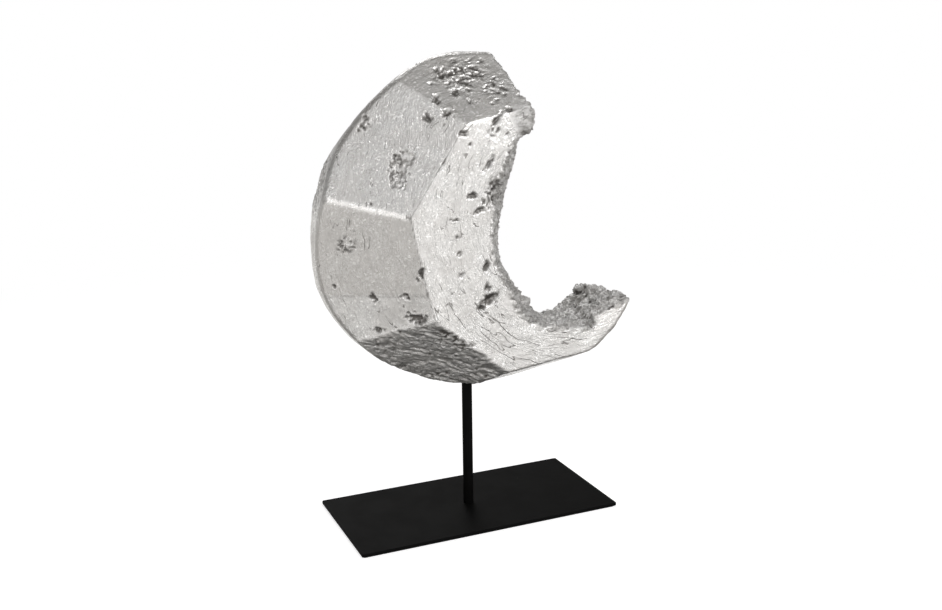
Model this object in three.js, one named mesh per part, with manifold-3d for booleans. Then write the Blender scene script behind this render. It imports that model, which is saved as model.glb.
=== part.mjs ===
// A silver-leafed crescent casting on a black post and plate, in millimetres.
//
// Frame: +Z up, the origin at the centre of the felt liner's underside, +X along the plate's long
// side and -Y towards the crescent's flat front face.
//
// The crescent is a thick disc with its axis along Y. Flat facets slope back from a front face to
// the rim, smaller ones slope in again behind the rim, and a broken bite opens the disc on its +X
// side. It turns on the post's spigot, on a thin washer, and lifts off it.

import * as THREE from "three";
import * as BufferGeometryUtils from "three/addons/utils/BufferGeometryUtils.js";
import Module from "manifold-3d";

const wasm = await Module();
wasm.setup();

// ---- Driving dimensions ----

const PLATE_LENGTH = 305;
const PLATE_DEPTH = 150;
const PLATE_THICKNESS = 3.5;
const PLATE_CORNER_RADIUS = 1.5;
const PLATE_EDGE_ROUND = 0.4;

const LINER_THICKNESS = 1.2;
const LINER_INSET = 1.5;
const LINER_CORNER_RADIUS = 3;

const POST_RADIUS = 5.75;
const POST_SHOULDER_Z = 153;
const SPIGOT_RADIUS = 5.2;
const SPIGOT_LENGTH = 60;

const SLEEVE_OUTER_RADIUS = 8;
const SLEEVE_BORE_RADIUS = 5.4;
const SLEEVE_LENGTH = 76;
const SLEEVE_PLUG_LENGTH = 8;

const WASHER_THICKNESS = 1;
const WASHER_OUTER_RADIUS = 7;

const SCREW_HEAD_RADIUS = 5.9;
const SCREW_HEAD_HEIGHT = 3;
const SCREW_SHANK_RADIUS = 2.9;
const SCREW_LENGTH = 20;
const SCREW_HEX_RADIUS = 2.3;
const SCREW_HEX_DEPTH = 1.8;

// Clear space left between a piece and the hole it is fixed in, and under the pieces that turn.
const FIXED_GAP = 0.3;
const RUNNING_GAP = 0.1;

// The crescent's disc: its centre in the XZ plane, its thickness, and the planes of its two faces.
const DISC_CENTRE = new THREE.Vector2(20, 327);
const DISC_THICKNESS = 110;
const FRONT_Y = -DISC_THICKNESS / 2;
const BACK_Y = DISC_THICKNESS / 2;

// The rim isn't quite round. These are its radii at even steps, counted from +X towards +Z.
const RIM_RADII = [
  184, 183, 182, 182, 182, 185, 179.5, 181, 183, 188, 185, 178, 173, 176, 183, 186,
];
const RIM_SEGMENTS = 120;

// Flat cuts, each by the direction in which it faces across the disc, its slope away from the
// disc's axis, and its distance from the disc's centre where it meets the front or back plane.
const FRONT_FACETS = [
  { facing: 100.4, slope: 43.5, distance: 118.5 }, // top
  { facing: 145.9, slope: 35.6, distance: 97 }, // upper left
  { facing: 191.7, slope: 36.6, distance: 96.2 }, // left
  { facing: 196, slope: 37, distance: 98.9 }, // lower left
  { facing: 231.7, slope: 40.9, distance: 116.6 }, // bottom left
  { facing: 276.9, slope: 64.2, distance: 154.6 }, // bottom
];
const BACK_FACETS = [
  { facing: 78, slope: 36, distance: 150 }, // top
  { facing: 126, slope: 39.4, distance: 126 }, // upper left
  { facing: 176, slope: 35, distance: 151 }, // left
  { facing: 221, slope: 37, distance: 155 }, // lower left
  { facing: 266, slope: 42, distance: 156 }, // bottom
];

// A slim facet at the lower horn's tip, cut back from the front plane above this height.
const TIP_FACET_Z = 206;
const TIP_FACET_SLOPE = 10;
const TIP_FACET_START_X = 118;
const TIP_FACET_REACH = 120;

// The bite's outline as [x, z] where it opens on the front plane and on the back plane, in the
// same order, from above the upper horn, down the broken wall and out past the lower horn's tip.
const BITE_FRONT = [
  [12, 524], [33, 490], [43, 468], [51, 455], [56, 445], [51, 433], [35, 424], [27, 413],
  [20, 396], [11, 375], [7, 350], [6, 320], [10, 294], [24, 268], [36, 242], [52, 226],
  [84, 215], [113, 211], [128, 209], [133, 222], [154, 229], [181, 235], [200, 243],
];
const BITE_BACK = [
  [26, 524], [45, 490], [52, 468], [60, 455], [67, 443], [67, 430], [67, 416], [71, 402],
  [67, 384], [60, 362], [54, 340], [47, 312], [48, 286], [61, 260], [76, 238], [92, 218],
  [108, 204], [126, 202], [144, 208], [156, 216], [164, 223], [168, 231], [190, 231],
];
const BITE_TIP_SWELL = 3;
const BITE_TIP_START_X = 148;
const BITE_TIP_END_X = 176;
const BITE_FAR_CORNERS = [[320, 260], [320, 524]];
const BITE_CURVE_SEGMENTS = 60;
const BITE_MARGIN = 6;
const BITE_STEPS = 12;

// The size of the blocks that make the flat cuts, larger than the whole disc.
const CUTTER_SIZE = 800;
// How far a cut runs on past the face that it opens on.
const OVERCUT = 1;
const SOCKET_OVERCUT = 60;
// The drilled hole in the post's foot: spare depth past the screw, and its point's slope.
const HOLE_SPARE_DEPTH = 4;
const DRILL_POINT_SLOPE = 0.6;

// Steps round a full turn, and round the plate's small corners and edges.
const ROUND_SEGMENTS = 48;
const POST_SEGMENTS = 64;
const PLUG_SEGMENTS = 32;
const CORNER_SEGMENTS = 4;
const EDGE_SEGMENTS = 2;
const HEXAGON_SIDES = 6;

// Points closer than the first are one point when a solid is made. The second tells which point of
// the bite's outline a point of its wall stands over.
const MERGE_TOLERANCE = 1e-4;
const SAME_POINT_DISTANCE = 0.01;

// Heights that follow from the sizes above.
const PLATE_TOP = LINER_THICKNESS + PLATE_THICKNESS;
const WASHER_BOTTOM = POST_SHOULDER_Z + RUNNING_GAP;
const SOCKET_BOTTOM = WASHER_BOTTOM + WASHER_THICKNESS + RUNNING_GAP;
const SOCKET_TOP = SOCKET_BOTTOM + SLEEVE_LENGTH;
const SPIGOT_TOP = POST_SHOULDER_Z + SPIGOT_LENGTH;

// ---- Helpers ----

function degrees(angle) {
  return THREE.MathUtils.degToRad(angle);
}

// A closed three.js geometry as a solid that can be joined and cut.
function toSolid(geometry) {
  const bare = geometry.clone();
  bare.deleteAttribute("normal");
  bare.deleteAttribute("uv");
  const merged = BufferGeometryUtils.mergeVertices(bare, MERGE_TOLERANCE);
  return new wasm.Manifold(new wasm.Mesh({
    numProp: 3,
    vertProperties: new Float32Array(merged.attributes.position.array),
    triVerts: new Uint32Array(merged.index.array),
  }));
}

function toGeometry(solid) {
  const mesh = solid.getMesh();
  const geometry = new THREE.BufferGeometry();
  geometry.setAttribute("position", new THREE.BufferAttribute(mesh.vertProperties, 3));
  geometry.setIndex(new THREE.BufferAttribute(mesh.triVerts, 1));
  geometry.computeVertexNormals();
  return geometry;
}

// A solid turned about +Z from a profile of [radius, z] points, listed from the bottom up.
function turned(profile, segments) {
  const points = profile.map(([radius, z]) => new THREE.Vector2(radius, z));
  return new THREE.LatheGeometry(points, segments).rotateX(Math.PI / 2);
}

// A round bar along +Z between two heights.
function bar(radius, bottom, top, segments) {
  return new THREE.CylinderGeometry(radius, radius, top - bottom, segments)
    .rotateX(Math.PI / 2)
    .translate(0, 0, (bottom + top) / 2);
}

function roundedRectangle(length, depth, radius) {
  const x = length / 2;
  const y = depth / 2;
  const shape = new THREE.Shape();
  shape.moveTo(-x + radius, -y);
  shape.lineTo(x - radius, -y);
  shape.absarc(x - radius, -y + radius, radius, -Math.PI / 2, 0);
  shape.lineTo(x, y - radius);
  shape.absarc(x - radius, y - radius, radius, 0, Math.PI / 2);
  shape.lineTo(-x + radius, y);
  shape.absarc(-x + radius, y - radius, radius, Math.PI / 2, Math.PI);
  shape.lineTo(-x, -y + radius);
  shape.absarc(-x + radius, -y + radius, radius, Math.PI, Math.PI * 1.5);
  return shape;
}

// ---- Crescent ----

function discSolid() {
  const step = (Math.PI * 2) / RIM_RADII.length;
  const rim = RIM_RADII.map((radius, i) => new THREE.Vector3(
    DISC_CENTRE.x + radius * Math.cos(i * step),
    DISC_CENTRE.y + radius * Math.sin(i * step),
    0,
  ));
  const curve = new THREE.CatmullRomCurve3(rim, true);
  const outline = curve.getPoints(RIM_SEGMENTS).slice(0, RIM_SEGMENTS);
  const shape = new THREE.Shape(outline.map((p) => new THREE.Vector2(p.x, p.y)));
  const disc = new THREE.ExtrudeGeometry(shape, { depth: DISC_THICKNESS, bevelEnabled: false });
  return toSolid(disc.rotateX(Math.PI / 2).translate(0, BACK_Y, 0));
}

// Everything outside one flat cut: a large block whose lower face lies in the cut's plane.
function cutter(point, normal) {
  const block = new THREE.BoxGeometry(CUTTER_SIZE, CUTTER_SIZE, CUTTER_SIZE)
    .translate(0, 0, CUTTER_SIZE / 2);
  const turn = new THREE.Quaternion().setFromUnitVectors(new THREE.Vector3(0, 0, 1), normal);
  return toSolid(block.applyQuaternion(turn).translate(point.x, point.y, point.z));
}

// side is -1 for a facet that starts from the front plane and +1 for one from the back plane.
function facetCutter(facet, side) {
  const facing = degrees(facet.facing);
  const slope = degrees(facet.slope);
  const across = new THREE.Vector3(Math.cos(facing), 0, Math.sin(facing));
  const point = new THREE.Vector3(DISC_CENTRE.x, side * BACK_Y, DISC_CENTRE.y);
  point.addScaledVector(across, facet.distance);
  const normal = across.clone().multiplyScalar(Math.sin(slope));
  normal.y = side * Math.cos(slope);
  return cutter(point, normal);
}

function tipFacetCutter() {
  const slope = degrees(TIP_FACET_SLOPE);
  const point = new THREE.Vector3(TIP_FACET_START_X, FRONT_Y, TIP_FACET_Z);
  const normal = new THREE.Vector3(0, -Math.cos(slope), Math.sin(slope));
  const half = TIP_FACET_REACH / 2;
  const reach = new THREE.BoxGeometry(TIP_FACET_REACH, TIP_FACET_REACH, TIP_FACET_REACH)
    .translate(TIP_FACET_START_X + half, FRONT_Y, TIP_FACET_Z + half);
  return cutter(point, normal).intersect(toSolid(reach));
}

function smoothOutline(points) {
  const curve = new THREE.SplineCurve(points.map(([x, z]) => new THREE.Vector2(x, z)));
  const outline = [];
  for (let i = 0; i <= BITE_CURVE_SEGMENTS; i += 1) {
    outline.push(curve.getPoint(i / BITE_CURVE_SEGMENTS));
  }
  BITE_FAR_CORNERS.forEach(([x, z]) => outline.push(new THREE.Vector2(x, z)));
  return outline;
}

// The bite runs from its front outline to its back outline and swells between them, so the broken
// wall bulges outwards in the middle of the disc's thickness, and so does the lower horn's tip.
function biteSolid() {
  const front = smoothOutline(BITE_FRONT);
  const back = smoothOutline(BITE_BACK);
  const depth = DISC_THICKNESS + BITE_MARGIN * 2;
  const geometry = new THREE.ExtrudeGeometry(new THREE.Shape(front), {
    depth,
    steps: BITE_STEPS,
    bevelEnabled: false,
  });
  const position = geometry.attributes.position;
  for (let i = 0; i < position.count; i += 1) {
    const vertex = new THREE.Vector2(position.getX(i), position.getY(i));
    const at = front.findIndex((point) => point.distanceTo(vertex) < SAME_POINT_DISTANCE);
    const y = BACK_Y + BITE_MARGIN - position.getZ(i);
    const across = THREE.MathUtils.clamp((y - FRONT_Y) / DISC_THICKNESS, 0, 1);
    const blend = Math.sin((across * Math.PI) / 2);
    const point = front[at].clone().lerp(back[at], blend);
    const tip = THREE.MathUtils.smoothstep(point.x, BITE_TIP_START_X, BITE_TIP_END_X);
    const swell = tip * BITE_TIP_SWELL * Math.sin(across * Math.PI);
    position.setXYZ(i, point.x, y, point.y + swell);
  }
  return toSolid(geometry);
}

// The socket for the sleeve, and the flat seat that the washer turns under.
function socketSolid() {
  const wide = SLEEVE_OUTER_RADIUS + FIXED_GAP;
  const bottom = SOCKET_BOTTOM - SOCKET_OVERCUT;
  return toSolid(bar(wide, bottom, SOCKET_TOP + FIXED_GAP, ROUND_SEGMENTS));
}

function crescentGeometry() {
  let solid = discSolid();
  FRONT_FACETS.forEach((facet) => {
    solid = solid.subtract(facetCutter(facet, -1));
  });
  BACK_FACETS.forEach((facet) => {
    solid = solid.subtract(facetCutter(facet, 1));
  });
  solid = solid.subtract(tipFacetCutter());
  solid = solid.subtract(biteSolid());
  solid = solid.subtract(socketSolid());
  return toGeometry(solid);
}

// ---- Socket sleeve and its plug ----

function sleeveGeometry() {
  const chamfer = 0.8;
  const bore = SLEEVE_BORE_RADIUS;
  const outer = SLEEVE_OUTER_RADIUS;
  return turned([
    [bore + chamfer, SOCKET_BOTTOM],
    [outer, SOCKET_BOTTOM],
    [outer, SOCKET_TOP],
    [bore, SOCKET_TOP],
    [bore, SOCKET_BOTTOM + chamfer],
    [bore + chamfer, SOCKET_BOTTOM],
  ], ROUND_SEGMENTS);
}

function plugGeometry() {
  const radius = SLEEVE_BORE_RADIUS - FIXED_GAP;
  const bottom = SOCKET_TOP - SLEEVE_PLUG_LENGTH;
  const chamfer = 0.6;
  return turned([
    [0, bottom],
    [radius - chamfer, bottom],
    [radius, bottom + chamfer],
    [radius, SOCKET_TOP],
    [0, SOCKET_TOP],
  ], PLUG_SEGMENTS);
}

// ---- Washer ----

function washerGeometry() {
  const inner = SLEEVE_BORE_RADIUS;
  const top = WASHER_BOTTOM + WASHER_THICKNESS;
  return turned([
    [inner, WASHER_BOTTOM],
    [WASHER_OUTER_RADIUS, WASHER_BOTTOM],
    [WASHER_OUTER_RADIUS, top],
    [inner, top],
    [inner, WASHER_BOTTOM],
  ], ROUND_SEGMENTS);
}

// ---- Post ----

function postGeometry() {
  const holeRadius = SCREW_SHANK_RADIUS + FIXED_GAP;
  const holeTop = LINER_THICKNESS + SCREW_LENGTH + HOLE_SPARE_DEPTH;
  const chamfer = 0.5;
  const spigotChamfer = 1;
  return turned([
    [0, holeTop],
    [holeRadius, holeTop - holeRadius * DRILL_POINT_SLOPE],
    [holeRadius, PLATE_TOP],
    [POST_RADIUS, PLATE_TOP],
    [POST_RADIUS, POST_SHOULDER_Z - chamfer],
    [POST_RADIUS - chamfer, POST_SHOULDER_Z],
    [SPIGOT_RADIUS, POST_SHOULDER_Z],
    [SPIGOT_RADIUS, SPIGOT_TOP - spigotChamfer],
    [SPIGOT_RADIUS - spigotChamfer, SPIGOT_TOP],
    [0, SPIGOT_TOP],
  ], POST_SEGMENTS);
}

// ---- Base screw, plate and liner ----

function screwGeometry() {
  const headTop = LINER_THICKNESS + SCREW_HEAD_HEIGHT;
  const tip = LINER_THICKNESS + SCREW_LENGTH;
  const chamfer = 0.8;
  const body = turned([
    [0, LINER_THICKNESS],
    [SCREW_HEAD_RADIUS, LINER_THICKNESS],
    [SCREW_SHANK_RADIUS, headTop],
    [SCREW_SHANK_RADIUS, tip - chamfer],
    [SCREW_SHANK_RADIUS - chamfer, tip],
    [0, tip],
  ], ROUND_SEGMENTS);
  const hexTop = LINER_THICKNESS + SCREW_HEX_DEPTH;
  const hexagon = bar(SCREW_HEX_RADIUS, LINER_THICKNESS - OVERCUT, hexTop, HEXAGON_SIDES);
  return toGeometry(toSolid(body).subtract(toSolid(hexagon)));
}

// The countersunk hole follows the screw's head and shank, one gap wider all the way up.
function screwHole() {
  const head = SCREW_HEAD_RADIUS + FIXED_GAP;
  const shank = SCREW_SHANK_RADIUS + FIXED_GAP;
  return turned([
    [0, LINER_THICKNESS - OVERCUT],
    [head, LINER_THICKNESS - OVERCUT],
    [head, LINER_THICKNESS],
    [shank, LINER_THICKNESS + SCREW_HEAD_HEIGHT],
    [shank, PLATE_TOP + OVERCUT],
    [0, PLATE_TOP + OVERCUT],
  ], ROUND_SEGMENTS);
}

function plateGeometry() {
  const shape = roundedRectangle(
    PLATE_LENGTH - PLATE_EDGE_ROUND * 2,
    PLATE_DEPTH - PLATE_EDGE_ROUND * 2,
    PLATE_CORNER_RADIUS,
  );
  const slab = new THREE.ExtrudeGeometry(shape, {
    depth: PLATE_THICKNESS - PLATE_EDGE_ROUND * 2,
    bevelThickness: PLATE_EDGE_ROUND,
    bevelSize: PLATE_EDGE_ROUND,
    bevelSegments: EDGE_SEGMENTS,
    curveSegments: CORNER_SEGMENTS,
  }).translate(0, 0, LINER_THICKNESS + PLATE_EDGE_ROUND);
  return toGeometry(toSolid(slab).subtract(toSolid(screwHole())));
}

function linerGeometry() {
  const shape = roundedRectangle(
    PLATE_LENGTH - LINER_INSET * 2,
    PLATE_DEPTH - LINER_INSET * 2,
    LINER_CORNER_RADIUS,
  );
  return new THREE.ExtrudeGeometry(shape, {
    depth: LINER_THICKNESS,
    bevelEnabled: false,
    curveSegments: CORNER_SEGMENTS,
  });
}

// ---- Materials and assembly ----

function material(color, roughness, metalness) {
  return new THREE.MeshStandardMaterial({ color, roughness, metalness });
}

const PARTS = [
  ["crescent", crescentGeometry(), material(0xcfcdc8, 0.42, 0.9)],
  ["socket_sleeve", sleeveGeometry(), material(0x9a9b9d, 0.4, 1)],
  ["sleeve_plug", plugGeometry(), material(0x8a8b8d, 0.5, 1)],
  ["swivel_washer", washerGeometry(), material(0x141415, 0.45, 0)],
  ["post", postGeometry(), material(0x1d1d1e, 0.45, 0.3)],
  ["base_screw", screwGeometry(), material(0x2a2a2c, 0.4, 1)],
  ["base_plate", plateGeometry(), material(0x18181a, 0.55, 0.3)],
  ["base_liner", linerGeometry(), material(0x101010, 0.95, 0)],
];

const sculpture = new THREE.Group();
PARTS.forEach(([name, geometry, look]) => {
  const mesh = new THREE.Mesh(geometry, look);
  mesh.name = name;
  sculpture.add(mesh);
});

export default sculpture;
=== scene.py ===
"""Desk sculpture: a silver-leafed crescent casting on a black post and plate.

The crescent's visible mesh is made from its CAD body: remeshed, worn smooth along its ridges, then
wrinkled, pitted and broken up in code. The stand keeps the CAD's shapes. Lengths in the tables are
in millimetres in the CAD frame, and everything built is in metres.
"""
import math
import random

import bmesh
import bpy
import numpy as np
from mathutils import Matrix, Vector, noise
from mathutils.bvhtree import BVHTree


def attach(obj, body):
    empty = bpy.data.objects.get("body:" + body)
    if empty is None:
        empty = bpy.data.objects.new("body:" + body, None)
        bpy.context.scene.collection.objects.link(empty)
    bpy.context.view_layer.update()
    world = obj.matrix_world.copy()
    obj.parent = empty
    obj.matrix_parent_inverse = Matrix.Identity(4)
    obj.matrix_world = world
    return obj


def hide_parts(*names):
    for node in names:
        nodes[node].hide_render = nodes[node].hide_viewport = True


MM = 0.001

# noise_vector's offsets are drawn from this seed. Without one they differ from run to run.
NOISE_SEED = 7
BLOW_HOLE_SEED = 11

# The disc that the crescent is cut from: its middle in the XZ plane and half its thickness.
DISC_MIDDLE = (20, 327)
DISC_HALF = 55

# Each facet's facing in the XZ plane, its slope off the disc's face (degrees) and its distance from
# the middle to the edge it makes on that face.
FRONT_FACETS = {
    "top": (100.4, 43.5, 118.5),
    "upper": (145.9, 35.6, 97.0),
    "left": (191.7, 36.6, 96.2),
    "lower": (196.0, 37.0, 98.9),
    "dark": (231.7, 40.9, 116.6),
    "under": (276.9, 64.2, 154.6),
}
BACK_FACETS = {
    "back_top": (78, 36, 150),
    "back_upper": (126, 39.4, 126),
    "back_left": (176, 35, 151),
    "back_lower": (221, 37, 155),
    "back_under": (266, 42, 156),
}

# The areas with no look of their own, which share the plain skin.
PLAIN_AREAS = ("rim", "under", "back", *BACK_FACETS)
RIM_INNER_RADIUS = 160

# A point is on a facet if it is this close to its plane and its facing is this near the facet's.
FACET_SLACK = 0.06
SAME_FACING = 0.995

# The middle of the bite in the XZ plane, which the front's folds run round, and its usual radius.
FLOW_MIDDLE = (110, 340)
FLOW_RADIUS = 130

# The small facet at the lower horn's tip: its slope off the front face, and a point on it.
TIP_SLOPE = math.radians(10)
TIP_NORMAL = (0, -math.cos(TIP_SLOPE), math.sin(TIP_SLOPE))
TIP_POINT = (118, -DISC_HALF, 206)

# The front corner of the upper horn, which is worn round and crumbles. Each pair is a distance from
# it, first where the change starts and then where it is complete.
UPPER_HORN_CORNER = (56, -52, 444)
CORNER_WEAR = (24, 6)
CORNER_CRUMBS = (36, 12)

# The heights between which the broken face and its edges grow calmer, and the front more cracked.
CALM_TOP = (462, 476)
CRACKED_BASE = (300, 225)

# How squarely a point has to face the front (its normal's Y) to take the front's marks.
FACING_FRONT = (-0.12, -0.3)

# Up to AXIS_CLEAR_TOP the socket's CAD surface is kept, from the axis to the first distance. The
# skin is free from the second.
AXIS_CLEAR = (11, 17)
AXIS_CLEAR_TOP = 250

# The remesh's voxels, and how many times neighbours are averaged: over the whole shape, over the
# areas' borders, over the worn ridges' width, over their shape, and out from the bite's border for
# its torn edge and for its cracks.
VOXEL = 1.5
SHAPE_PASSES = 3
BORDER_PASSES = 4
RIDGE_PASSES = 14
WORN_PASSES = 36
TORN_PASSES = 30
CRACKED_PASSES = 60

# The depth of the folds on each area, by the way that they run: upright, or round the bite.
UPRIGHT_FOLDS = {"upper": 0.34, "plain": 0.24}
RUNNING_FOLDS = {
    "left": 0.40, "lower": 0.32, "table": 0.32, "top": 0.20, "tip": 0.30, "plain": 0.22,
}

# How strongly the leaf's brush lines show on each area: upright, round the bite, and level.
UPRIGHT_STROKES = {"upper": 0.85, "plain": 0.6}
RUNNING_STROKES = {
    "left": 0.8, "lower": 0.8, "table": 0.8, "tip": 0.8, "top": 0.5, "plain": 0.3,
}
LEVEL_STROKES = {"dark": 1.0, "bite": 0.9}

# How rough the leaf is on each area, and how much painted shade darkens each area's leaf colour.
ROUGH_SKIN = {"bite": 0.9, "dark": 0.45}
FACET_SHADE = {"left": 1.0, "tip": 0.9, "dark": 0.3}

# Pits on the front: x, z, half length, half width, turn (degrees from +X towards +Z), depth.
PITS = [
    (-27, 489, 6, 3.5, 150, 2.6),
    (-42, 464, 4.2, 3.2, 60, 2.8),
    (10, 487, 5.5, 2.8, 30, 2.2),
    (29, 452, 3.6, 2.8, 20, 1.6),
    (-23, 478, 3.2, 2.2, 15, 1.8),
    (-44, 479, 2.2, 2.0, 0, 1.8),
    (-8, 461, 2.8, 2.0, 110, 2.0),
    (-20, 469, 4.0, 3.4, 0, 1.4),
    (14, 458, 2.2, 1.8, 0, 1.6),
    (-53, 445, 4.6, 3.8, 100, 3.4),
    (-35, 451, 5.2, 3.6, 25, 4.0),
    (-24, 430, 5.0, 3.2, 5, 3.6),
    (-112, 438, 3.4, 2.2, 150, 2.0),
    (-108, 447, 3.4, 3.0, 60, 2.4),
    (-148, 273, 2.6, 2.2, 0, 2.4),
    (-112, 262, 6.0, 2.4, 120, 1.6),
    (-85, 265, 3.8, 2.6, 150, 3.2),
    (-71, 291, 8.0, 2.6, 79, 3.2),
    (-75, 241, 9.0, 5.0, 165, 3.6),
    (-107, 227, 4.2, 3.0, 170, 2.6),
    (5, 398, 10.0, 2.6, 50, 3.2),
    (1, 291, 7.0, 3.2, 85, 3.4),
    (14, 442, 10.0, 2.4, 48, 3.4),
    (-14, 366, 5.8, 3.4, 0, 3.4),
    (-7, 351, 6.4, 2.8, 30, 3.2),
    (-28, 285, 4.8, 3.0, 55, 1.8),
    (2, 268, 4.8, 3.2, 117, 2.8),
    (-34, 343, 7.0, 1.3, 175, 1.4),
    (-30, 308, 3.6, 2.8, 60, 2.2),
    (4, 254, 6.0, 4.6, 30, 4.0),
    (-4, 248, 4.2, 3.4, 0, 3.2),
    (11, 259, 4.4, 3.0, 30, 3.0),
    (24, 428, 2.6, 2.0, 90, 2.2),
    (2, 355, 2.4, 2.0, 110, 2.0),
    (-2, 360, 2.4, 2.0, 135, 2.0),
    (-17, 419, 2.4, 1.8, 90, 1.6),
    (-46, 402, 2.4, 1.6, 50, 1.0),
]

# Shallow breaks in the front with steep sides and a rough floor: x, z, half length, half width,
# turn, depth.
CRATERS = [
    (-79, 407, 8.0, 6.5, 20, 2.6),
    (-86, 396, 10.0, 6.0, 80, 2.8),
    (-88, 385, 8.0, 6.5, 70, 2.4),
    (12, 366, 13, 8, 70, 3.0),
]

# Crumpled patches, where the casting boiled: x, z, half length, half width, turn, height.
CRUMPLES = [
    (-8, 487, 42, 20, 2, 2.3),
    (26, 474, 24, 15, 40, 1.8),
    (-107, 442, 9, 6, 60, 1.6),
    (-138, 320, 15, 11, 60, 1.8),
    (-36, 215, 34, 11, 150, 2.0),
    (8, 374, 20, 10, 70, 2.2),
    (2, 256, 14, 9, 45, 2.0),
    (13, 434, 13, 8, 48, 1.6),
    (-20, 476, 12, 6, 20, 1.6),
]

# Swellings on the surface nearest to a point: x, y, z, radius, height. The last is sunk, and makes
# the rim's flat spot.
LUMPS = [
    (66, -18, 240, 8, 8.0),
    (54, -26, 254, 7, 5.0),
    (25, -50, 369, 10, 3.2),
    (26, -48, 384, 7, 2.2),
    (60, -34, 441, 12, 3.0),
    (49, -50, 437, 8, 2.5),
    (-135, -10, 318, 6, 1.6),
    (-150, 38, 378, 24, -2.2),
]

# Small blow holes: how many places are tried, their sizes, and the share of the tries that are kept
# on the dark facet and the broken face, on the rest of the front, and elsewhere.
BLOW_HOLE_TRIES = 420
BLOW_HOLE_SIZES = (1.0, 2.2)
KEPT_IF_CROWDED = 0.85
KEPT_ON_FRONT = 0.04
KEPT_ELSEWHERE = 0.22


def facet_plane(facing, slope, distance, side):
    """A facet's outward normal and a point on it, in millimetres."""
    a, s = math.radians(facing), math.radians(slope)
    across = np.array((math.cos(a), 0, math.sin(a)))
    point = np.array((DISC_MIDDLE[0], side * DISC_HALF, DISC_MIDDLE[1])) + across * distance
    return across * math.sin(s) + np.array((0, side * math.cos(s), 0)), point


def smoothstep(low, high, value):
    """Rises smoothly from 0 at low to 1 at high, or falls where low is the higher."""
    t = np.clip((value - low) / (high - low), 0, 1)
    return t * t * (3 - 2 * t)


def new_object(name, mesh):
    obj = bpy.data.objects.new(name, mesh)
    bpy.context.scene.collection.objects.link(obj)
    return obj


def shade_smooth(mesh):
    mesh.polygons.foreach_set("use_smooth", [True] * len(mesh.polygons))
    mesh.update()


# ---------------------------------------------------------------- node helpers

class Graph:
    """Builds one node tree, with a node's inputs given by name or number."""

    def __init__(self, tree):
        self.tree = tree
        tree.nodes.clear()

    def add(self, kind, inputs=None, **settings):
        node = self.tree.nodes.new(kind)
        for key, value in settings.items():
            setattr(node, key, value)
        for key, value in (inputs or {}).items():
            if isinstance(value, bpy.types.NodeSocket):
                self.tree.links.new(value, node.inputs[key])
            else:
                node.inputs[key].default_value = value
        return node

    def math(self, operation, *values, clamp=False):
        node = self.add("ShaderNodeMath", dict(enumerate(values)), operation=operation,
                        use_clamp=clamp)
        return node.outputs[0]

    def ramp(self, value, low, high, to_low=0.0, to_high=1.0, smooth=True):
        node = self.add("ShaderNodeMapRange", {
            "Value": value, "From Min": low, "From Max": high, "To Min": to_low, "To Max": to_high,
        }, interpolation_type="SMOOTHSTEP" if smooth else "LINEAR")
        return node.outputs[0]

    def mix(self, factor, a, b, blend="MIX"):
        node = self.add("ShaderNodeMix", {0: factor, 6: a, 7: b}, data_type="RGBA",
                        blend_type=blend, clamp_factor=True)
        return node.outputs[2]

    def noise(self, vector, scale, detail=2.0, roughness=0.5, distortion=0.0, kind="FBM"):
        node = self.add("ShaderNodeTexNoise", {
            "Vector": vector, "Scale": scale, "Detail": detail, "Roughness": roughness,
            "Distortion": distortion,
        }, noise_type=kind)
        return node.outputs["Fac"]

    def stretched(self, vector, turn, factors):
        """The coordinates turned about an Euler angle, then scaled along each axis."""
        turned = self.add("ShaderNodeMapping", {"Vector": vector, "Rotation": turn})
        return self.add("ShaderNodeMapping", {
            "Vector": turned.outputs[0], "Scale": factors,
        }).outputs[0]

    def attribute(self, name, output="Fac"):
        return self.add("ShaderNodeAttribute", attribute_name=name).outputs[output]

    def place(self):
        """The point in the object's own frame, in metres."""
        return self.add("ShaderNodeTexCoord").outputs["Object"]

    def surface(self, height, inputs, strength=1.0):
        """Joins a Principled shader to the output, with a height in metres as its bump."""
        bump = self.add("ShaderNodeBump", {"Height": height, "Distance": 1.0, "Strength": strength})
        shader = self.add("ShaderNodeBsdfPrincipled", {**inputs, "Normal": bump.outputs[0]})
        self.add("ShaderNodeOutputMaterial", {0: shader.outputs[0]})


def material(name):
    made = bpy.data.materials.new(name)
    made.use_nodes = True
    return made, Graph(made.node_tree)


def grey(value, warmth=0.0):
    return (value * (1 + warmth), value, value * (1 - warmth), 1)


# ---------------------------------------------------------------- materials

# The leaf's relief in metres: brush lines, crinkles, cracks, and grit on sound and on broken skin.
BRUSH_DEPTH = 0.00095
CRINKLE_DEPTH = 0.00022
CRACK_DEPTH = 0.0003
GRIT_DEPTH = 0.00016
BROKEN_GRIT_DEPTH = 0.0014
# How far a slow drift bends the leaf's patterns, in metres along each axis.
LEAF_DRIFT = (0.007, 0.007, 0.007)
# Pressing one axis together stretches a pattern into lines along it.
LINES_ALONG_X = (0.16, 1.0, 1.0)
LINES_ALONG_Z = (1.0, 1.0, 0.17)


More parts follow.
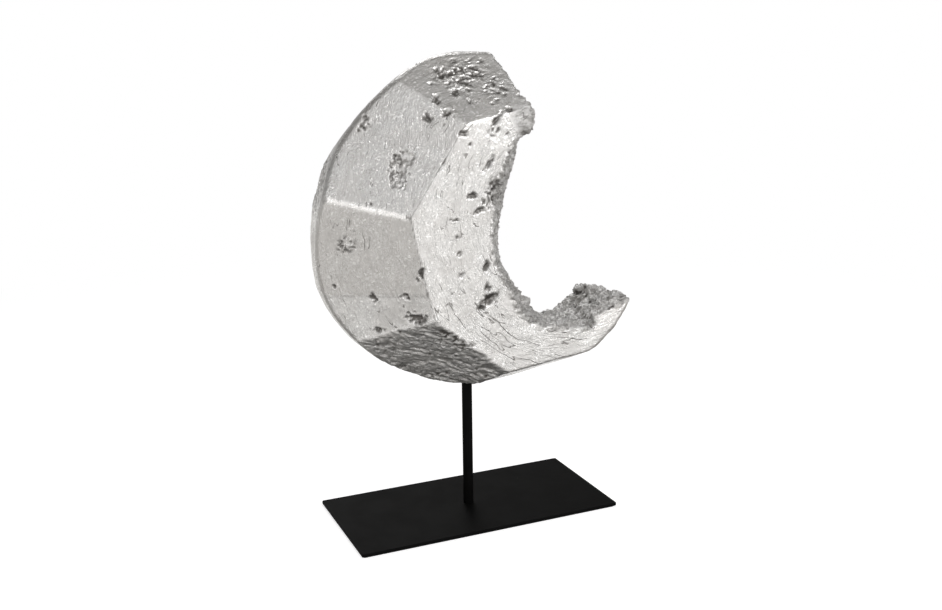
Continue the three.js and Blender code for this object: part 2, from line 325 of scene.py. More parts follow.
def leaf_patterns(g, place):
    """The patterns that the leaf's colour and relief share: brush lines, crinkles, cracks, crumbs."""
    drift = g.add("ShaderNodeTexNoise", {"Vector": place, "Scale": 45.0, "Detail": 1.0})
    drift = g.add("ShaderNodeVectorMath", {0: drift.outputs["Color"], 1: (0.5, 0.5, 0.5)},
                  operation="SUBTRACT").outputs[0]
    round_bite = g.add("ShaderNodeVectorMath", {
        0: drift, 1: LEAF_DRIFT, 2: g.attribute("flow", "Vector"),
    }, operation="MULTIPLY_ADD").outputs[0]
    bent = g.add("ShaderNodeVectorMath", {0: drift, 1: LEAF_DRIFT, 2: place},
                 operation="MULTIPLY_ADD").outputs[0]

    strokes = g.add("ShaderNodeSeparateColor", {0: g.attribute("strokes", "Color")}).outputs
    upright = g.noise(g.stretched(bent, (0, 0, 0), LINES_ALONG_Z), 560.0, 3.0, 0.65)
    running = g.noise(g.stretched(round_bite, (0, 0, 0), LINES_ALONG_X), 560.0, 3.0, 0.65)
    level_turn = (0, math.radians(-80), 0)
    level = g.noise(g.stretched(bent, level_turn, (1.0, 1.0, 0.16)), 460.0, 3.0, 0.65)
    brushed = g.math("MULTIPLY", upright, strokes[0])
    brushed = g.math("MULTIPLY_ADD", running, strokes[1], brushed)
    brushed = g.math("MULTIPLY_ADD", level, strokes[2], brushed)

    # A crack is where a slow wandering noise crosses its middle value, kept only in patches.
    wander = g.noise(g.stretched(round_bite, (0, 0, 0), (0.22, 1.0, 1.0)), 80.0, 2.0, 0.5)
    crack = g.ramp(g.math("ABSOLUTE", g.math("SUBTRACT", wander, 0.5)), 0.003, 0.011, 1.0, 0.0)
    gathered = g.math("MULTIPLY_ADD", g.attribute("lined"), 0.16, g.noise(place, 60.0, 2.0, 0.5))
    crack = g.math("MULTIPLY", crack, g.ramp(gathered, 0.56, 0.66))

    crinkle = g.noise(bent, 330.0, 4.0, 0.62, 0.3, "RIDGED_MULTIFRACTAL")
    crumbs = g.noise(place, 800.0, 4.0, 0.7)
    return brushed, crinkle, crack, crumbs


def silver_leaf():
    """Silver leaf over a rough casting: brushed folds, a crinkled skin, painted shade in hollows and
    creases.
    """
    made, g = material("silver_leaf")
    place = g.place()
    hollow_shade = g.attribute("hollow_shade")
    rough_skin = g.attribute("rough_skin")
    facet_shade = g.attribute("facet_shade")
    brushed, crinkle, crack, crumbs = leaf_patterns(g, place)

    patch = g.ramp(g.noise(place, 22.0, 3.0, 0.6), 0.36, 0.66)
    skin = g.mix(patch, grey(0.96, 0.004), grey(0.89, 0.014))
    # Painted shade: the left facet, the tip, the dark facet and the torn edge take a darker leaf
    # colour.
    skin = g.mix(g.math("MULTIPLY", facet_shade, 0.55), skin, grey(0.62, 0.03))
    stain = g.ramp(g.noise(place, 130.0, 5.0, 0.7), 0.60, 0.74)
    skin = g.mix(g.math("MULTIPLY", stain, 0.34), skin, grey(0.50, 0.05))
    # Painted shade in the creases of the crinkled leaf.
    crease_shade = g.ramp(crinkle, 0.10, 0.36, 1.0, 0.0)
    skin = g.mix(g.math("MULTIPLY", crease_shade, 0.36), skin, grey(0.42, 0.04))
    skin = g.mix(g.math("MULTIPLY", crack, 0.75), skin, grey(0.20, 0.06))
    mottle = g.noise(g.stretched(place, (0, 0, 0), (0.35, 1.0, 1.0)), 150.0, 4.0, 0.7)
    mottle = g.math("MULTIPLY", g.ramp(mottle, 0.47, 0.60), 0.7)
    skin = g.mix(g.math("MULTIPLY", rough_skin, mottle), skin, grey(0.30, 0.05))
    # Painted shade in the hollows, with fine grit and the broken skin's darker tone, takes the leaf
    # towards black.
    shade_and_crust = g.math("MULTIPLY_ADD", rough_skin, 0.12, g.math("MULTIPLY_ADD", hollow_shade, 1.4, -0.72))
    grit_and_shade = g.math("MULTIPLY_ADD", crumbs, 1.0, shade_and_crust, clamp=True)
    skin = g.mix(g.math("MULTIPLY", grit_and_shade, 0.92), skin, grey(0.12, 0.08))

    roughness = g.math("MULTIPLY_ADD", patch, 0.06, 0.23)
    roughness = g.math("MULTIPLY_ADD", hollow_shade, 0.25, roughness)
    roughness = g.math("MULTIPLY_ADD", rough_skin, 0.10, roughness, clamp=True)

    grit_depth = g.math("MULTIPLY_ADD", rough_skin, BROKEN_GRIT_DEPTH, GRIT_DEPTH)
    height = g.math("MULTIPLY", brushed, BRUSH_DEPTH)
    height = g.math("MULTIPLY_ADD", crinkle, CRINKLE_DEPTH, height)
    height = g.math("MULTIPLY_ADD", crack, -CRACK_DEPTH, height)
    height = g.math("MULTIPLY_ADD", crumbs, grit_depth, height)
    g.surface(height, {"Base Color": skin, "Metallic": 1.0, "Roughness": roughness})
    return made


def powder_coat():
    """Satin black powder coat: a fine orange peel with faint dust and rubbed patches."""
    peel_depth = 0.00004
    made, g = material("black_coating")
    place = g.place()
    peel = g.noise(place, 1300.0, 2.0, 0.5)
    rubbed = g.ramp(g.noise(place, 28.0, 4.0, 0.6), 0.35, 0.7)
    dust = g.ramp(g.noise(place, 2600.0, 1.0, 0.5), 0.70, 0.80)
    scuffs = g.noise(g.stretched(place, (0, 0, math.radians(24)), (1.0, 0.05, 1.0)), 420.0, 3.0, 0.6)
    scuffs = g.ramp(scuffs, 0.68, 0.76)
    colour = g.mix(rubbed, grey(0.0030, 0.02), grey(0.0044, 0.02))
    colour = g.mix(g.math("MULTIPLY", dust, 0.05), colour, grey(0.25))
    colour = g.mix(g.math("MULTIPLY", scuffs, 0.05), colour, grey(0.10))
    roughness = g.math("MULTIPLY_ADD", rubbed, 0.08, 0.50)
    roughness = g.math("MULTIPLY_ADD", scuffs, -0.06, roughness)
    g.surface(g.math("MULTIPLY", peel, peel_depth), {
        "Base Color": colour, "Roughness": roughness, "Specular IOR Level": 0.03,
    }, strength=0.7)
    return made


def drawn_steel(name, tone, finish):
    """Drawn or turned steel of a tone and a roughness: fine lines along the axis, a light tarnish."""
    line_depth = 0.00003
    made, g = material(name)
    place = g.place()
    lines = g.noise(g.stretched(place, (0, 0, 0), (1.0, 1.0, 0.04)), 2400.0, 3.0, 0.6)
    tarnish = g.ramp(g.noise(place, 160.0, 4.0, 0.6), 0.42, 0.7)
    colour = g.mix(tarnish, grey(tone), grey(tone * 0.62, 0.05))
    roughness = g.math("MULTIPLY_ADD", tarnish, 0.18, finish)
    g.surface(g.math("MULTIPLY", lines, line_depth), {
        "Base Color": colour, "Metallic": 1.0, "Roughness": roughness,
    })
    return made


def nylon():
    """Black nylon, slightly waxy, with faint turning marks."""
    mark_depth = 0.00002
    made, g = material("black_nylon")
    place = g.place()
    cloud = g.ramp(g.noise(place, 300.0, 3.0, 0.6), 0.35, 0.7)
    colour = g.mix(cloud, grey(0.010), grey(0.018))
    marks = g.noise(g.stretched(place, (0, 0, 0), (0.3, 0.3, 1.0)), 3000.0, 2.0, 0.5)
    g.surface(g.math("MULTIPLY", marks, mark_depth), {
        "Base Color": colour, "Roughness": g.math("MULTIPLY_ADD", cloud, 0.12, 0.38),
    })
    return made


def felt():
    """Pressed black felt: matted fibres with a soft sheen."""
    fibre_depth = 0.0003
    fibre_shape = (1.0, 0.12, 1.0)
    made, g = material("black_felt")
    place = g.place()
    one_way = g.noise(g.stretched(place, (0, 0, 0.6), fibre_shape), 1700.0, 3.0, 0.6, 0.6)
    other_way = g.noise(g.stretched(place, (0, 0, -0.9), fibre_shape), 1500.0, 3.0, 0.6, 0.6)
    fibre = g.math("MAXIMUM", one_way, other_way)
    worn = g.ramp(g.noise(place, 35.0, 3.0, 0.5), 0.4, 0.65)
    colour = g.mix(g.ramp(fibre, 0.45, 0.75), grey(0.006), grey(0.030))
    colour = g.mix(g.math("MULTIPLY", worn, 0.3), colour, grey(0.035, 0.04))
    g.surface(g.math("MULTIPLY", fibre, fibre_depth), {
        "Base Color": colour, "Roughness": 0.95, "Specular IOR Level": 0.1,
        "Sheen Weight": 0.25, "Sheen Roughness": 0.5,
    })
    return made


# ---------------------------------------------------------------- the crescent

def remeshed(source):
    """An even mesh over the CAD body. Surface puts its points back on the CAD surface."""
    rough = new_object("crescent_remesh", source.data.copy())
    modifier = rough.modifiers.new("voxels", "REMESH")
    modifier.mode = "VOXEL"
    modifier.voxel_size = VOXEL * MM
    shape = rough.evaluated_get(bpy.context.evaluated_depsgraph_get())
    mesh = bpy.data.meshes.new_from_object(shape)
    bpy.data.objects.remove(rough)
    return mesh


class Surface:
    """The crescent's points in millimetres, with the CAD surface's facts at each point."""

    def __init__(self, mesh, cad):
        self.mesh = mesh
        self.co = self.read(mesh.vertices, "co") / MM
        edges = np.empty(len(mesh.edges) * 2, np.int64)
        mesh.edges.foreach_get("vertices", edges)
        self.a, self.b = edges.reshape(-1, 2).T
        self.count = len(self.co)
        self.degree = np.bincount(np.concatenate((self.a, self.b)), minlength=self.count)
        tree = BVHTree.FromObject(cad, bpy.context.evaluated_depsgraph_get())
        found = [tree.find_nearest(Vector(p) * MM) for p in self.co]
        self.co = np.array([hit[0] for hit in found]) / MM
        self.cad_normal = np.array([hit[1] for hit in found])

    @staticmethod
    def read(items, name):
        values = np.empty(len(items) * 3)
        items.foreach_get(name, values)
        return values.reshape(-1, 3)

    def write(self):
        self.mesh.vertices.foreach_set("co", (self.co * MM).ravel())
        self.mesh.update()

    def normals(self):
        self.write()
        return self.read(self.mesh.vertex_normals, "vector")

    def relax(self, values, passes, share=0.5):
        """Averages values with those of the neighbouring points."""
        values = values.astype(float)
        flat = values.reshape(self.count, -1)
        for _ in range(passes):
            total = np.zeros_like(flat)
            for column in range(flat.shape[1]):
                total[:, column] = (
                    np.bincount(self.a, flat[self.b, column], self.count)
                    + np.bincount(self.b, flat[self.a, column], self.count)
                )
            flat = flat + share * (total / self.degree[:, None] - flat)
        return flat.reshape(values.shape)

    def on_plane(self, normal, point):
        near = np.abs((self.co - point) @ normal) < FACET_SLACK
        return near & (self.cad_normal @ normal > SAME_FACING)


def sample(points, size, function, *options, offset=(0, 0, 0)):
    """A noise's value at each point, with features of about the given size in millimetres."""
    moved = points / size + np.array(offset)
    return np.array([function(Vector(p), *options) for p in moved])


def warped(points, size, amount, offset=(0, 0, 0)):
    """The points pushed about by a slow noise, so that what is drawn on them curls."""
    return points + amount * sample(points, size, noise.noise_vector, offset=offset)


def along(points, turn, stretch):
    """The points with the direction at turn (degrees from +X towards +Z) pressed together."""
    a = math.radians(turn)
    run = np.array((math.cos(a), 0, math.sin(a)))
    return points - np.outer(points @ run, run) * (1 - 1 / stretch)


def clouds(points, size, octaves=2, offset=(0, 0, 0), calm=1.0, step=2.0):
    """Soft swellings above and below 0, each octave finer by step. Calm weakens the fine ones."""
    return sample(points, size, noise.fractal, calm, step, octaves, offset=offset)


def ridges(points, size, octaves=3, offset=(0, 0, 0), calm=0.9):
    """Sharp folds, from 0 in the valleys to about 1 on the crests. Calm thins out the small ones."""
    step, base_height, gain, usual_crest = 2.1, 1.0, 2.0, 1.6
    value = sample(points, size, noise.ridged_multi_fractal, calm, step, octaves, base_height, gain,
                   offset=offset)
    return np.clip(value / usual_crest, 0, 1)


def evened(values):
    """The values spread so that equal shares of the points have each height from 0 to 1."""
    ranks = np.empty(len(values))
    ranks[np.argsort(values)] = np.linspace(0, 1, len(values))
    return ranks


def flow_points(points):
    """The points unrolled round the bite: the way round it, the depth, and the distance from it."""
    dx, dz = points[:, 0] - FLOW_MIDDLE[0], points[:, 2] - FLOW_MIDDLE[1]
    reach = np.hypot(dx, dz)
    way_round = np.arctan2(dz, dx) % (2 * math.pi)
    return np.stack((way_round * FLOW_RADIUS, points[:, 1], reach), 1)


def spot(points, x, z, half_length, half_width, turn):
    """How far each point is from a spot's middle in the XZ plane, 1 being the spot's edge."""
    a = math.radians(turn)
    dx, dz = points[:, 0] - x, points[:, 2] - z
    u = (dx * math.cos(a) + dz * math.sin(a)) / half_length
    v = (dz * math.cos(a) - dx * math.sin(a)) / half_width
    return np.hypot(u, v)


def distance_from(points, place):
    return np.linalg.norm(points - np.array(place), axis=1)


class Casting:
    """The crescent's skin while it is worked on.

    areas says which points each facet or face has, and soft is the same with blurred borders. lift
    is how far each point moves out along its normal, in millimetres. The hollow shade is how much
    painted shade each point holds in its hollows, from 0 to 1.
    """

    def __init__(self, surface):
        self.surface = surface
        self.areas = self.find_areas()
        self.soft = {name: surface.relax(area, BORDER_PASSES) for name, area in self.areas.items()}
        self.soft["plain"] = sum(self.soft[name] for name in PLAIN_AREAS)
        free = smoothstep(*AXIS_CLEAR, np.hypot(surface.co[:, 0], surface.co[:, 1]))
        self.free = np.where(surface.co[:, 2] > AXIS_CLEAR_TOP, 1, free)
        self.wear_ridges()
        self.base = surface.co.copy()
        self.normal = surface.normals()
        self.forward = smoothstep(*FACING_FRONT, self.normal[:, 1])
        self.flow = flow_points(self.base)
        self.calm_top = smoothstep(*CALM_TOP, self.base[:, 2])
        self.torn_edge = surface.relax(self.areas["bite"], TORN_PASSES) * self.soft["table"]
        self.lift = np.zeros(surface.count)
        self.hollow_shade = np.zeros(surface.count)
        self.draw_patterns()

    def find_areas(self):
        """The points of each facet, of the faces, the rim and the tip. The bite has the rest."""
        surface = self.surface
        areas = {}
        for side, facets in ((-1, FRONT_FACETS), (1, BACK_FACETS)):
            for name, facet in facets.items():
                areas[name] = surface.on_plane(*facet_plane(*facet, side))
        areas["table"] = surface.on_plane(np.array((0, -1, 0)), np.array((0, -DISC_HALF, 0)))
        areas["back"] = surface.on_plane(np.array((0, 1, 0)), np.array((0, DISC_HALF, 0)))
        areas["tip"] = surface.on_plane(np.array(TIP_NORMAL), np.array(TIP_POINT))
        out = surface.co[:, [0, 2]] - np.array(DISC_MIDDLE)
        radius = np.hypot(*out.T)
        outward = (surface.cad_normal[:, [0, 2]] * out).sum(1) / radius
        upright = np.abs(surface.cad_normal[:, 1]) < 0.1
        areas["rim"] = (radius > RIM_INNER_RADIUS) & upright & (outward > 0.9)
        areas["bite"] = ~np.any(list(areas.values()), axis=0)
        return areas

    def wear_ridges(self):
        """Wears every ridge a little, and the rim's edges, one front ridge and a corner more."""
        surface = self.surface
        unworn = surface.co.copy()
        surface.co = surface.relax(surface.co, SHAPE_PASSES)
        rim, upper, left = (
            surface.relax(self.areas[name], RIDGE_PASSES) for name in ("rim", "upper", "left")
        )
        self.crown = np.clip(4 * upper * left, 0, 1)
        corner = smoothstep(*CORNER_WEAR, distance_from(surface.co, UPPER_HORN_CORNER))
        worn = np.clip(3.6 * rim * (1 - rim) + 2.0 * upper * left + 0.8 * corner, 0, 1)[:, None]
        surface.co = surface.co + worn * (surface.relax(surface.co, WORN_PASSES) - surface.co)
        surface.co = unworn + (surface.co - unworn) * self.free[:, None]

    def draw_patterns(self):
        """The patterns that several kinds of mark share, as one value for each point."""
        base = self.base
        curled = warped(base, 30, 4)
        round_bite = warped(self.flow, 30, 4) * (0.2, 1, 1)
        self.upright = ridges(along(curled, 86, 5), 6, calm=0.7)
        self.level = ridges(along(curled, -10, 5), 5.5, 4, offset=(11, 4, 6), calm=0.6)
        self.running = ridges(round_bite, 6, offset=(3, 9, 1), calm=0.7)
        self.tear = ridges(along(curled, 8, 3), 7, offset=(6, 2, 5), calm=0.6)
        self.coarse = ridges(warped(base, 16, 7), 15, 4, offset=(2, 2, 8))
        self.blotch = smoothstep(-0.25, 0.35, sample(base, 26, noise.noise, offset=(5, 5, 1)))
        self.crumb = clouds(base, 5, 3, offset=(8, 8, 2), calm=0.5, step=2.1)
        bubbles = warped(base, 8, 4.5, (2, 8, 3)) * (0.75, 1, 1.25)
        self.boiled = evened(ridges(bubbles, 7.5, offset=(5, 7, 7), calm=0.4))
        self.torn = warped(base, 5, 2.4, (3, 3, 7))
        self.ragged = 1 + 0.6 * clouds(base, 3.2, offset=(1, 1, 4), calm=0.7)

    def spread(self, amounts):
        """One value for each point, from an amount for each area."""
        return sum(amount * self.soft[name] for name, amount in amounts.items())

    def paint_shade(self, amount):
        """Raises the painted shade to the amount on the points that hold less."""
        self.hollow_shade = np.maximum(self.hollow_shade, amount)

    def make_uneven(self):
        """The casting's own slow unevenness, on every surface."""
        self.lift += 0.55 * clouds(self.base, 42)
        self.lift += 0.22 * clouds(self.base, 14, offset=(7, 1, 3))

    def fold_skin(self):
        """Folds in the skin, which run a different way on each facet."""
        fold = self.spread(UPRIGHT_FOLDS) * self.upright + self.spread(RUNNING_FOLDS) * self.running
        self.lift += fold * (0.45 + 0.55 * self.blotch)
        dark = self.soft["dark"]
        self.lift += dark * (1.5 * self.level ** 2 + 0.8 * self.coarse * self.blotch)
        # Painted shade in the valleys of the dark facet's folds.
        self.paint_shade(0.5 * dark * smoothstep(0.34, 0.12, self.level))
        self.lift += 1.6 * self.torn_edge * (self.running - 0.4)
        # Painted shade in the valleys of the folds along the torn edge.
        self.paint_shade(self.torn_edge * smoothstep(0.30, 0.08, self.running))

    def darken_seam(self):
        """Painted shade in the seam between the flat face and the facets beside it."""
        soft = self.soft
        seam = 4 * soft["table"] * (soft["upper"] + soft["left"] + soft["lower"])
        self.paint_shade(0.85 * smoothstep(0.72, 0.98, seam) * (0.6 + 0.4 * self.blotch))

    def break_inner_face(self):
        """Crags, crumbs and torn hollows all over the bite."""
        bite = self.soft["bite"]
        crag = ridges(warped(self.base, 16, 7, (1, 6, 2)), 13, 4, offset=(4, 0, 9), calm=0.55)
        relief = 3.8 * (crag - 0.4) + 2.0 * self.crumb + 2.0 * (self.tear - 0.4)
        self.lift += bite * (1 - 0.5 * self.calm_top) * relief
        # Painted shade in the valleys between the crags and in the tears.
        self.paint_shade(0.85 * bite * smoothstep(0.44, 0.20, crag))
        self.paint_shade(0.8 * bite * smoothstep(0.34, 0.12, self.tear))

    def chip_edges(self):
        """Chips along every edge where the facets meet the broken face."""
        edge = 4 * self.soft["bite"] * (1 - self.soft["bite"]) * (1 - 0.75 * self.calm_top)
        chip = smoothstep(0.0, 0.45, clouds(self.base, 6, offset=(9, 3, 3), calm=0.8))
        self.lift += edge * (0.9 * self.crumb - 1.6 * chip)
        # Painted shade in the chips.
        self.paint_shade(0.62 * edge * chip)

    def crumple(self, x, z, half_length, half_width, turn, height):
        """A patch where the skin has boiled up into small sharp blisters."""
        r = spot(self.base, x, z, half_length, half_width, turn)
        inside = self.forward * smoothstep(1.2, 0.6, r + 0.7 * (self.coarse - 0.4))
        self.lift += inside * height * (self.boiled - 0.6)
        # Painted shade in the low parts between the blisters.
        self.paint_shade(inside * smoothstep(0.58, 0.16, self.boiled))

    def dig_crater(self, x, z, half_length, half_width, turn, depth):
        """A shallow break with painted shade on its wall, darker on its upper left side, and on its
        floor.
        """
        r = spot(self.torn, x, z, half_length, half_width, turn) * self.ragged
        self.lift -= self.forward * depth * smoothstep(1.12, 0.72, r) * (1.0 - 0.3 * self.coarse)
        wall = np.exp(-(((r - 0.95) / 0.2) ** 2))
        # Painted shade: more of it on the wall's upper left side.
        shaded = smoothstep(-6, 5, (self.base[:, 2] - z) * 0.8 - (self.base[:, 0] - x))
        self.paint_shade(self.forward * wall * (0.1 + 0.75 * shaded))
        floor = self.forward * smoothstep(1, 0.8, r)
        self.paint_shade(0.35 * floor * smoothstep(0.40, 0.10, self.boiled))

    def sink_pit(self, x, z, half_length, half_width, turn, depth):
        """A pit with painted shade in it and a raised rim."""
        r = spot(self.torn, x, z, half_length, half_width, turn) * self.ragged
        self.lift -= self.forward * depth * smoothstep(1.12, 0.4, r)
        # Painted shade inside the pit.
        pit_shade = smoothstep(1.12, 0.62, r) * np.clip(0.30 + (1.1 - self.boiled), 0, 0.92)
        self.paint_shade(self.forward * pit_shade)
        rim = np.exp(-(((r - 1.35) / 0.25) ** 2))
        self.lift += self.forward * rim * 0.5 * self.boiled

    def scatter_blow_holes(self):
        """Small holes, few on the front and many on the dark facet and the broken face."""
        chooser = random.Random(BLOW_HOLE_SEED)
        for index in chooser.sample(range(self.surface.count), BLOW_HOLE_TRIES):
            size = chooser.uniform(*BLOW_HOLE_SIZES)
            keep = KEPT_ELSEWHERE
            if self.soft["dark"][index] > 0.5 or self.soft["bite"][index] > 0.5:
                keep = KEPT_IF_CROWDED
            elif self.forward[index] > 0.5:
                keep = KEPT_ON_FRONT
            if chooser.random() > keep or self.free[index] < 1:
                continue
            r = distance_from(self.base, self.base[index]) / size * self.ragged
            self.lift -= 0.75 * size * smoothstep(1.3, 0.3, r)
            # Painted shade inside each hole.
            self.paint_shade(0.9 * smoothstep(1.25, 0.5, r))

    def swell(self, x, y, z, size, height):
        """A lump, or a flat spot where the height is below 0."""
        nearest = self.base[np.argmin(distance_from(self.base, (x, y, z)))]
        r = distance_from(self.base, nearest) / size * (2 - self.ragged)
        self.lift += height * smoothstep(1.3, 0.1, r)

    def move_points(self):
        """Moves the mesh out by the lift, except where the socket's surface is kept."""
        self.surface.co = self.base + self.normal * (self.lift * self.free)[:, None]
        self.surface.write()
        shade_smooth(self.surface.mesh)

    def write_looks(self):
        """Keeps what the silver leaf's material reads as attributes of the mesh."""
        surface = self.surface
        crumbly = smoothstep(*CORNER_CRUMBS, distance_from(self.base, UPPER_HORN_CORNER))
        low = smoothstep(*CRACKED_BASE, self.base[:, 2])
        near_bite = smoothstep(0.12, 0.5, surface.relax(self.areas["bite"], CRACKED_PASSES))
        looks = {
            # Painted shade in the hollows.
            "hollow_shade": self.hollow_shade,
            "rough_skin": np.maximum(self.spread(ROUGH_SKIN), 0.75 * crumbly),
            # Painted shade on the left facet, the tip, the dark facet and the torn edge.
            "facet_shade": self.spread(FACET_SHADE) + 0.25 * self.torn_edge,
            "lined": self.soft["table"] * np.clip(0.25 + 0.75 * low + 0.6 * near_bite, 0, 1),
        }
        for name, values in looks.items():
            layer = surface.mesh.attributes.new(name, "FLOAT", "POINT")
            layer.data.foreach_set("value", np.clip(values * self.free, 0, 1).astype(np.float32))

        strokes = [self.spread(ways) for ways in (UPRIGHT_STROKES, RUNNING_STROKES, LEVEL_STROKES)]
        strokes = [amount * (1 - 0.75 * self.crown) for amount in strokes]
        strokes = np.stack((*strokes, np.ones(surface.count)), 1)
        layer = surface.mesh.attributes.new("strokes", "FLOAT_COLOR", "POINT")
        layer.data.foreach_set("color", np.clip(strokes, 0, 1).astype(np.float32).ravel())
        layer = surface.mesh.attributes.new("flow", "FLOAT_VECTOR", "POINT")
        layer.data.foreach_set("vector", (self.flow * MM).astype(np.float32).ravel())


def crescent(cad):
    """The visible crescent, worked up step by step from its CAD body."""
    casting = Casting(Surface(remeshed(cad), cad))
    casting.make_uneven()
    casting.fold_skin()
    casting.darken_seam()
    casting.break_inner_face()
    casting.chip_edges()
    for patch in CRUMPLES:
        casting.crumple(*patch)
    for crater in CRATERS:
        casting.dig_crater(*crater)
    for pit in PITS:
        casting.sink_pit(*pit)
    casting.scatter_blow_holes()
    for lump in LUMPS:
        casting.swell(*lump)
    casting.move_points()
    casting.write_looks()
    return new_object("crescent_skin", casting.surface.mesh)


# ---------------------------------------------------------------- studio

# The base light's brightness at heights from straight down (-1) to straight up (1).
BASE_LIGHT = (
    (-1.0, 0.10), (-0.80, 0.15), (-0.52, 0.34), (-0.12, 0.38), (0.06, 0.14), (0.50, 0.12),
    (0.85, 0.22), (1.0, 0.22),
)
# Each lobe of light: its direction, how tight it is, and its strength.
LIGHT_LOBES = (
    (0.40, -0.90, -0.14, 16.0, 1.48),
    (-0.75, -0.66, 0.05, 70.0, 2.60),
    (-0.57, -0.68, 0.44, 9.0, 0.74),
    (-0.71, -0.47, -0.53, 20.0, 0.84),
    (0.05, -0.50, 0.86, 10.0, 0.52),
    (0.80, 0.30, 0.05, 9.0, 0.35),
    (-0.38, 0.90, 0.20, 14.0, 0.30),
    (-1.00, 0.15, 0.00, 8.0, 0.30),
    (-0.30, 0.93, -0.25, 8.0, 0.16),
    (0.46, 0.79, -0.40, 12.0, 0.90),
    (0.14, 0.76, 0.64, 60.0, 6.20),
    (0.10, 0.98, -0.12, 40.0, 1.30),
)

# The key light: its place, what it is aimed at, its width and height (metres), and its power.
KEY_PLACE = (0.9, -1.5, 1.3)
KEY_AIM = (0, 0, 0.25)
KEY_SIZE = (1.2, 0.9)
KEY_POWER = 16

# The floor's radius, and the distances between which it melts into the room (metres).
FLOOR_RADIUS = 6.0
FLOOR_FADE = (0.45, 1.5)

# The camera: its place (metres), its angles (radians), its lens and sensor (millimetres), and how
# near and how far it sees (metres).
CAMERA_PLACE = (-0.4586, -1.0689, 0.5291)
CAMERA_PITCH = 0.2453
CAMERA_ROLL = -0.0126
CAMERA_YAW = -0.4103
CAMERA_LENS = 41.67
SENSOR_WIDTH = 36
CAMERA_REACH = (0.05, 40)


def warm(value):
    """A light's colour, slightly warmer than white."""
    return (value, value * 0.97, value * 0.915, 1)


def studio_world():
    """A white room for the camera, and soft lobes of light for everything the leaf reflects."""
    world = bpy.data.worlds.new("studio")
    bpy.context.scene.world = world
    world.use_nodes = True
    g = Graph(world.node_tree)
    direction = g.add("ShaderNodeTexCoord").outputs["Generated"]
    height = g.add("ShaderNodeSeparateXYZ", {0: direction}).outputs[2]
    ramp = g.add("ShaderNodeValToRGB", {0: g.math("MULTIPLY_ADD", height, 0.5, 0.5)})
    stops = ramp.color_ramp.elements
    while len(stops) < len(BASE_LIGHT):
        stops.new(0.5)
    for stop, (level, brightness) in zip(stops, BASE_LIGHT):
        stop.position = (level + 1) / 2
        stop.color = warm(brightness)
    total = 0.0
    for x, y, z, tightness, strength in LIGHT_LOBES:
        axis = Vector((x, y, z)).normalized()
        facing = g.add("ShaderNodeVectorMath", {0: direction, 1: axis}, operation="DOT_PRODUCT")
        power = g.math("MULTIPLY_ADD", facing.outputs["Value"], tightness, -tightness)
        total = g.math("MULTIPLY_ADD", g.math("EXPONENT", power), strength, total)
    lobes = g.add("ShaderNodeVectorMath", {0: (1.0, 1.0, 1.0), "Scale": total}, operation="SCALE")
    light = g.add("ShaderNodeVectorMath", {0: ramp.outputs[0], 1: lobes.outputs[0]},
                  operation="ADD")
    lit = g.add("ShaderNodeBackground", {0: light.outputs[0], 1: 1.0})
    seen = g.add("ShaderNodeBackground", {0: grey(1.0), 1: 1.0})
    path = g.add("ShaderNodeLightPath").outputs["Is Camera Ray"]
    both = g.add("ShaderNodeMixShader", {0: path, 1: lit.outputs[0], 2: seen.outputs[0]})
    g.add("ShaderNodeOutputWorld", {0: both.outputs[0]})


def studio_floor():
    """A pale round floor whose edge melts into the white room."""
    mesh = bpy.data.meshes.new("floor")
    shape = bmesh.new()
    bmesh.ops.create_circle(shape, cap_ends=True, radius=FLOOR_RADIUS, segments=96)
    shape.to_mesh(mesh)
    shape.free()
    floor = new_object("floor", mesh)
    floor.visible_glossy = False
    made, g = material("studio_floor")
    length = g.add("ShaderNodeVectorMath", {0: g.place()}, operation="LENGTH")
    distance = length.outputs["Value"]
    paper = g.add("ShaderNodeBsdfDiffuse", {"Color": grey(0.62)})
    glow = g.add("ShaderNodeEmission", {"Color": grey(1.0), "Strength": 0.72})
    near = g.add("ShaderNodeAddShader", {0: paper.outputs[0], 1: glow.outputs[0]})
    far = g.add("ShaderNodeEmission", {"Color": grey(1.0), "Strength": 1.0})
    fade = g.ramp(distance, *FLOOR_FADE)
    both = g.add("ShaderNodeMixShader", {0: fade, 1: near.outputs[0], 2: far.outputs[0]})
    g.add("ShaderNodeOutputMaterial", {0: both.outputs[0]})
    mesh.materials.append(made)


def softbox(name, place, target, size, power):
    """A rectangular light, which the camera doesn't see."""
    light = bpy.data.lights.new(name, "AREA")
    light.shape = "RECTANGLE"
    light.size, light.size_y = size
    light.energy = power
    lamp = bpy.data.objects.new(name, light)
    lamp.location = place
    lamp.rotation_euler = (Vector(target) - Vector(place)).to_track_quat("-Z", "Y").to_euler()
    lamp.visible_camera = False
    bpy.context.scene.collection.objects.link(lamp)


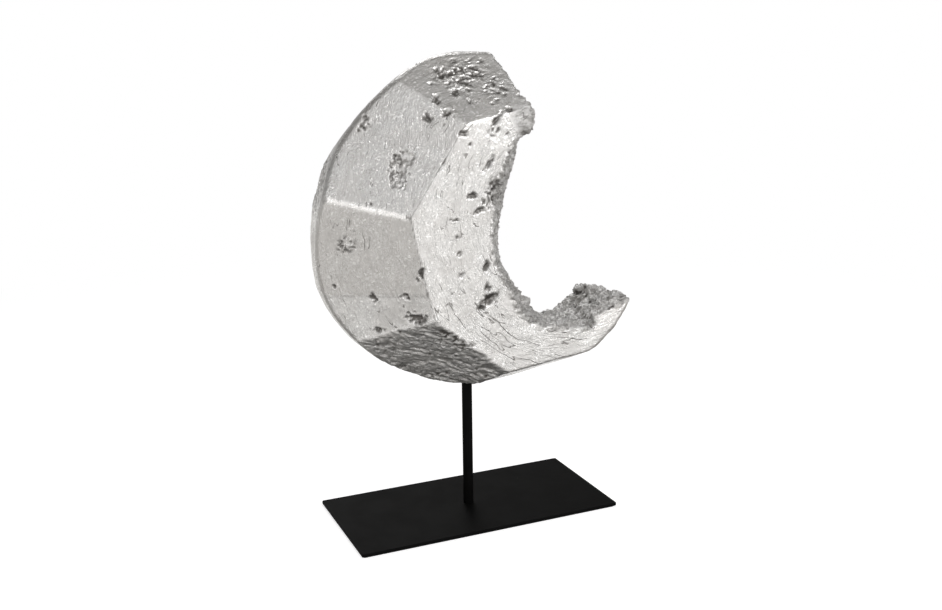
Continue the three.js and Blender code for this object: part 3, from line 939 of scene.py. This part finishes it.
def camera():
    data = bpy.data.cameras.new("camera")
    data.sensor_width = SENSOR_WIDTH
    data.lens = CAMERA_LENS
    data.clip_start, data.clip_end = CAMERA_REACH
    made = bpy.data.objects.new("camera", data)
    bpy.context.scene.collection.objects.link(made)
    level = Vector((math.cos(CAMERA_YAW), math.sin(CAMERA_YAW), 0))
    ahead = Vector((-math.sin(CAMERA_YAW), math.cos(CAMERA_YAW), 0))
    forward = math.cos(CAMERA_PITCH) * ahead + Vector((0, 0, -math.sin(CAMERA_PITCH)))
    raised = level.cross(forward)
    right = math.cos(CAMERA_ROLL) * level + math.sin(CAMERA_ROLL) * raised
    up = -math.sin(CAMERA_ROLL) * level + math.cos(CAMERA_ROLL) * raised
    turn = Matrix((right, up, -forward)).transposed()
    made.matrix_world = Matrix.Translation(CAMERA_PLACE) @ turn.to_4x4()
    bpy.context.scene.camera = made


noise.seed_set(NOISE_SEED)
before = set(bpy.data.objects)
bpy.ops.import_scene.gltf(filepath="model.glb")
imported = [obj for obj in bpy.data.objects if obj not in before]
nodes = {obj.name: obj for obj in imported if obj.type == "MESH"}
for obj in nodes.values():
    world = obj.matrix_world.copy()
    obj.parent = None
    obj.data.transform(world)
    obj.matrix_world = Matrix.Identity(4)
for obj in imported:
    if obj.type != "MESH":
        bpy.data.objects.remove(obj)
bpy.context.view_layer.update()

moon = crescent(nodes["crescent"])
moon.data.materials.clear()
moon.data.materials.append(silver_leaf())
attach(moon, "moon")
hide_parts("crescent")

coat = powder_coat()
steel = drawn_steel("bare_steel", 0.58, 0.26)
FINISHES = {
    "post": coat,
    "base_plate": coat,
    "base_liner": felt(),
    "base_screw": drawn_steel("screw_steel", 0.06, 0.34),
    "swivel_washer": nylon(),
    "sleeve_plug": steel,
    "socket_sleeve": steel,
}
for name, finish in FINISHES.items():
    for material_slot in nodes[name].material_slots:
        material_slot.material = finish

studio_world()
studio_floor()
softbox("key", KEY_PLACE, KEY_AIM, KEY_SIZE, KEY_POWER)
camera()
bpy.context.scene.view_settings.view_transform = "Standard"
